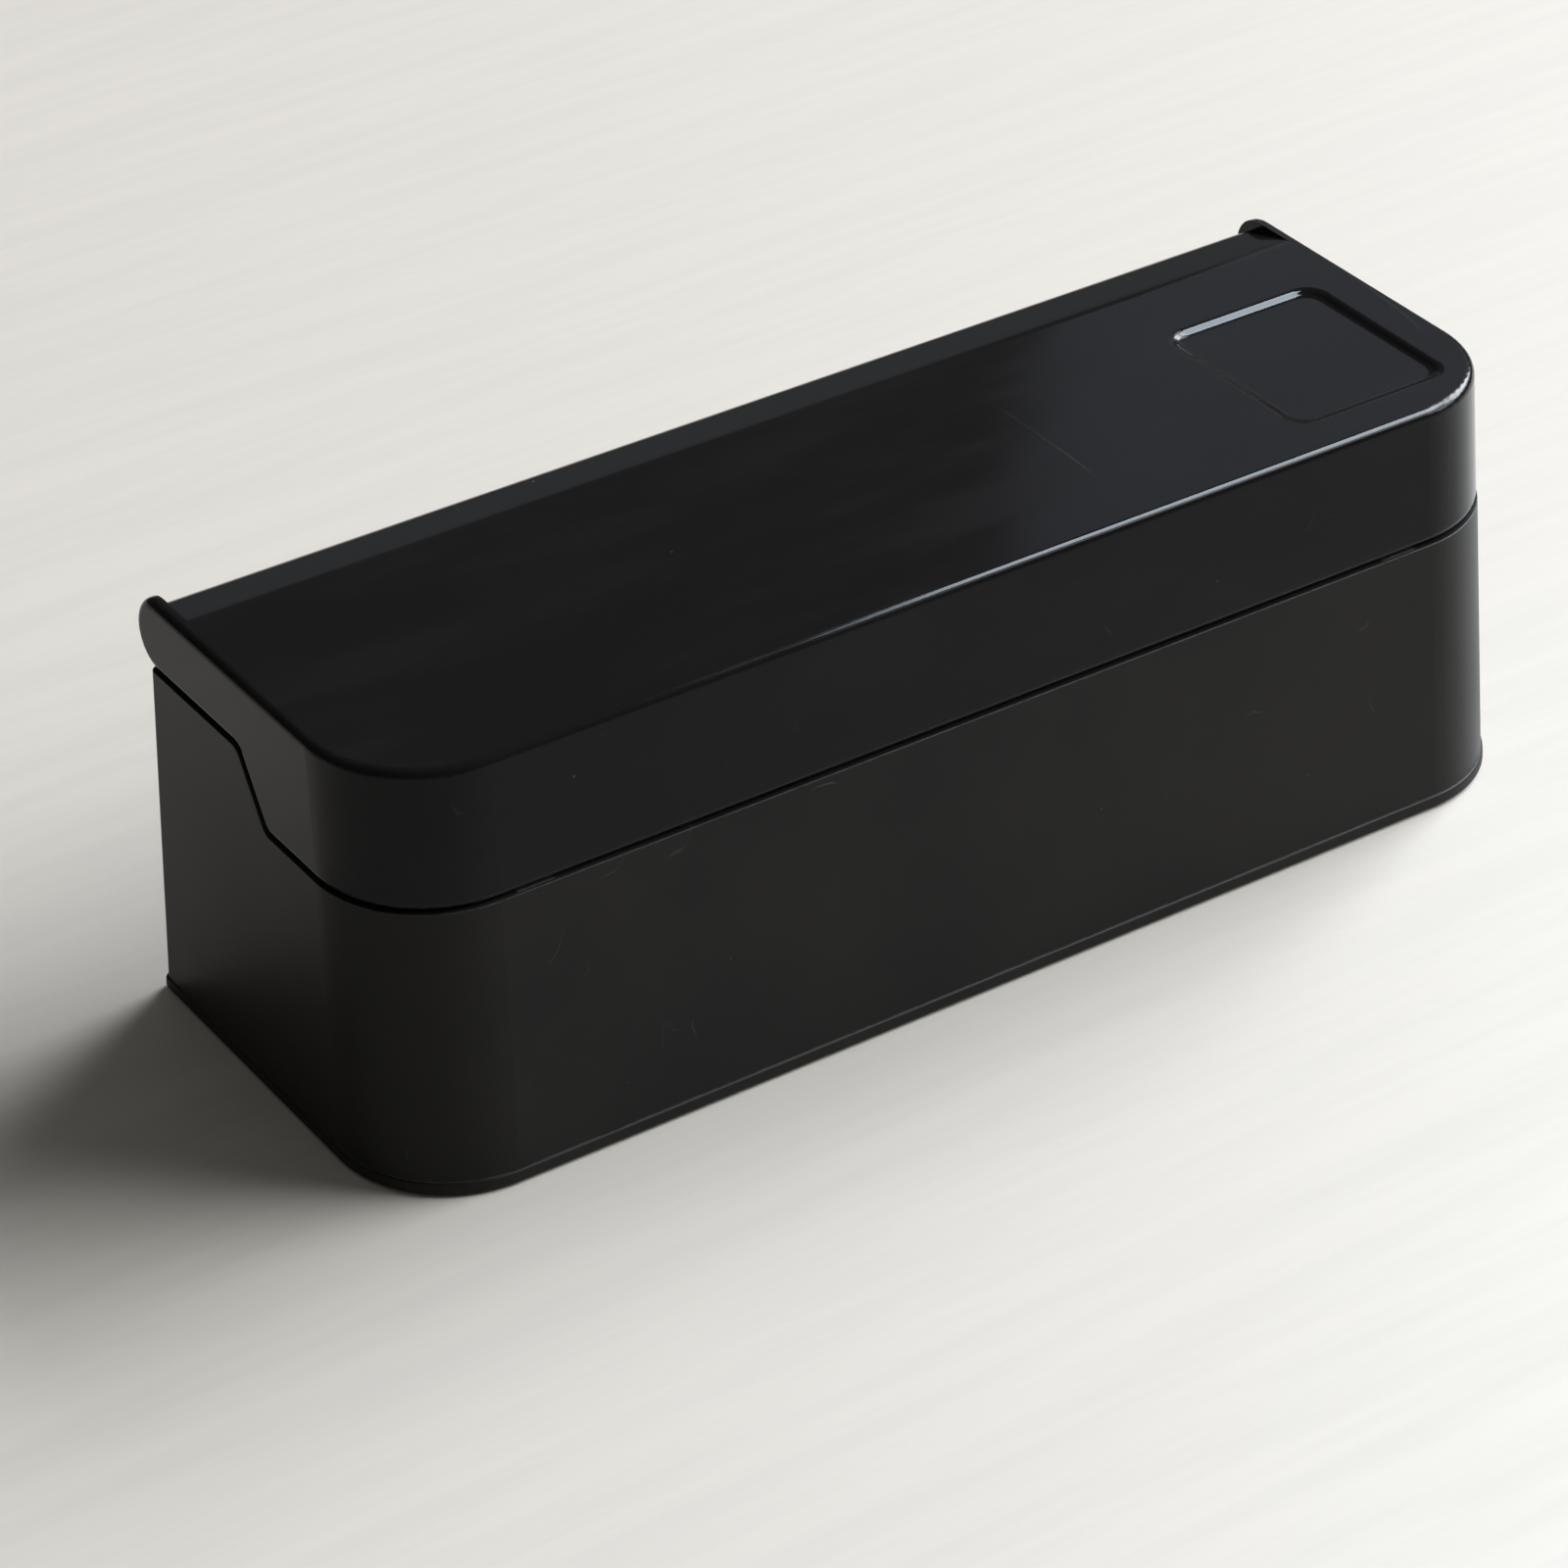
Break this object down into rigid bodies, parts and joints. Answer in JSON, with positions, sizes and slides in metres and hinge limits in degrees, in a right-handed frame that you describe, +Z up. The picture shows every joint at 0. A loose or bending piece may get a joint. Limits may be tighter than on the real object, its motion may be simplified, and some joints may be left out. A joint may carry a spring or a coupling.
{
  "type": "napkin dispenser",
  "caption": "Long black counter box for folded napkins: sleeve body, screwed bottom plate on rubber feet, and a deep glossy lid that swings back on pins.",
  "frame": {"origin": "on the table, in the middle of the whole object's length and depth", "axes": "+X along the length to the end with the finger recess, -Y the front that the lid opens from, +Z up"},
  "size_m": [0.2662, 0.0957, 0.09],
  "materials": {
    "body_plastic": "satin moulded black ABS",
    "lid_plastic": "polished black ABS with fine wipe scratches",
    "plate_plastic": "fine-textured black ABS",
    "foot_rubber": "matt dark grey rubber",
    "pad_rubber": "soft black pad",
    "pin_steel": "turned stainless steel",
    "screw_steel": "zinc-plated steel"
  },
  "bodies": {
    "base": {"body_shell": "body_plastic", "bottom_plate": "plate_plastic", "plate_screws": "screw_steel", "foot_front_left": "foot_rubber", "foot_front_right": "foot_rubber", "foot_rear_left": "foot_rubber", "foot_rear_right": "foot_rubber", "hinge_pin_left": "pin_steel", "hinge_pin_right": "pin_steel", "closing_pad_left": "pad_rubber", "closing_pad_right": "pad_rubber"},
    "lid": {"lid_shell": "lid_plastic"}
  },
  "joints": [
    {"name": "lid_hinge", "type": "hinge", "parent": "base", "child": "lid", "pos_m": [0, 0.0403, 0.0824], "axis": [-1, 0, 0], "range_deg": [0, 110]}
  ]
}
